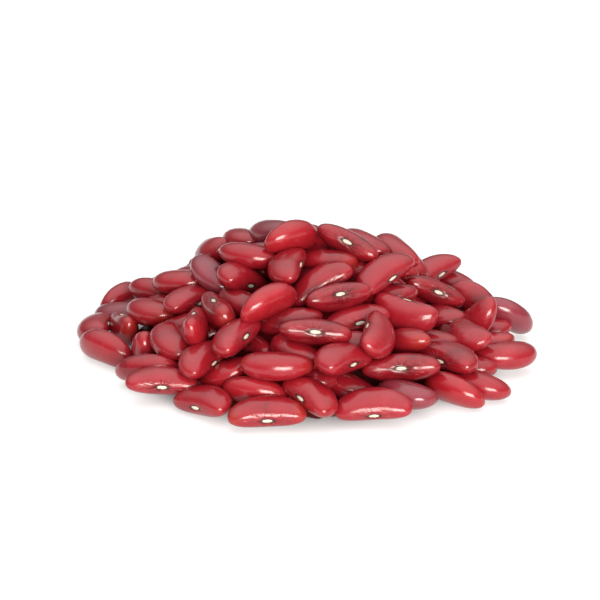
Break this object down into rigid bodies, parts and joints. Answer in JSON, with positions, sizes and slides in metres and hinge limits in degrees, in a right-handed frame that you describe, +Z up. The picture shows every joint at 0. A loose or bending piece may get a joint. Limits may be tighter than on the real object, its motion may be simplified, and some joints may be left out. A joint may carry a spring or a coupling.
{
  "type": "heap of dried kidney beans",
  "caption": "Loose heap of dried red kidney beans, poured as a low cone with an uneven foot, with no dish under it.",
  "frame": {"origin": "middle of the heap's flat underside, on the surface it lies on", "axes": "+Z up, -Y towards the viewer of the picture, +X to the picture's right"},
  "size_m": [0.117, 0.114, 0.0346],
  "materials": {
    "bean_skin": "dried seed skin, smooth, slightly waxy"
  },
  "bodies": {
    "root": {"bean_heap": "bean_skin"}
  },
  "joints": []
}
